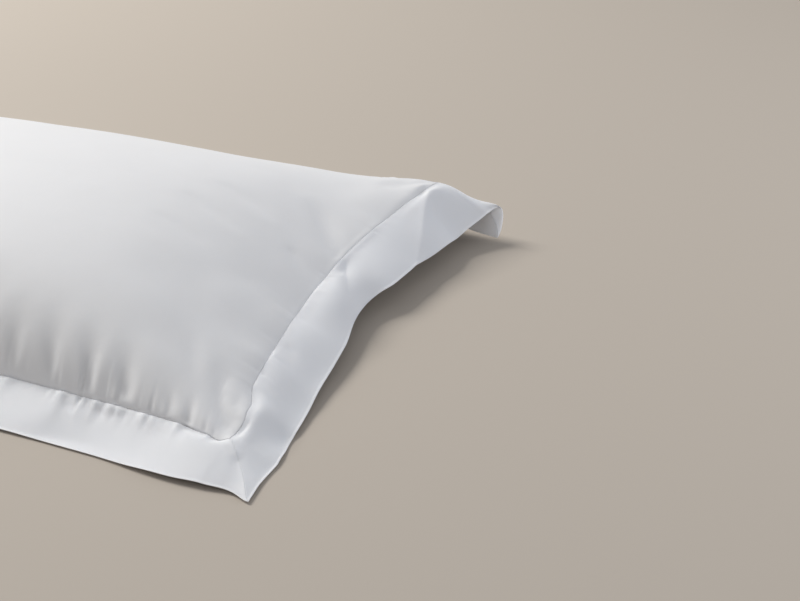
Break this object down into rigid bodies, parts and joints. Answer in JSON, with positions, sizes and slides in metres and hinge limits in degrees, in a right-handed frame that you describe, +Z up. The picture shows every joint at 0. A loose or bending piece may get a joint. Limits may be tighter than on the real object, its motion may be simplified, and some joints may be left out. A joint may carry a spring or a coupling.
{
  "type": "filled pillowcase with a mitred border",
  "caption": "Rectangular pillowcase on its pillow, lying flat: soft crown, drawn-in sides and a flat border with mitred corners that settles on the surface.",
  "frame": {"origin": "on the surface that the case rests on, under the centre of its bounding box", "axes": "+X along the long sides, towards the end whose far corner droops; +Y across, from the front border that lies on the surface to the back one; +Z up through the crown"},
  "size_m": [0.8234, 0.5782, 0.115],
  "materials": {
    "body_cloth": "white cotton sateen, soft sheen",
    "border_cloth": "white cotton sateen, two layers, soft sheen"
  },
  "bodies": {
    "root": {"filled_case": "body_cloth", "border_front": "border_cloth", "border_back": "border_cloth", "border_right": "border_cloth", "border_left": "border_cloth"}
  },
  "joints": []
}
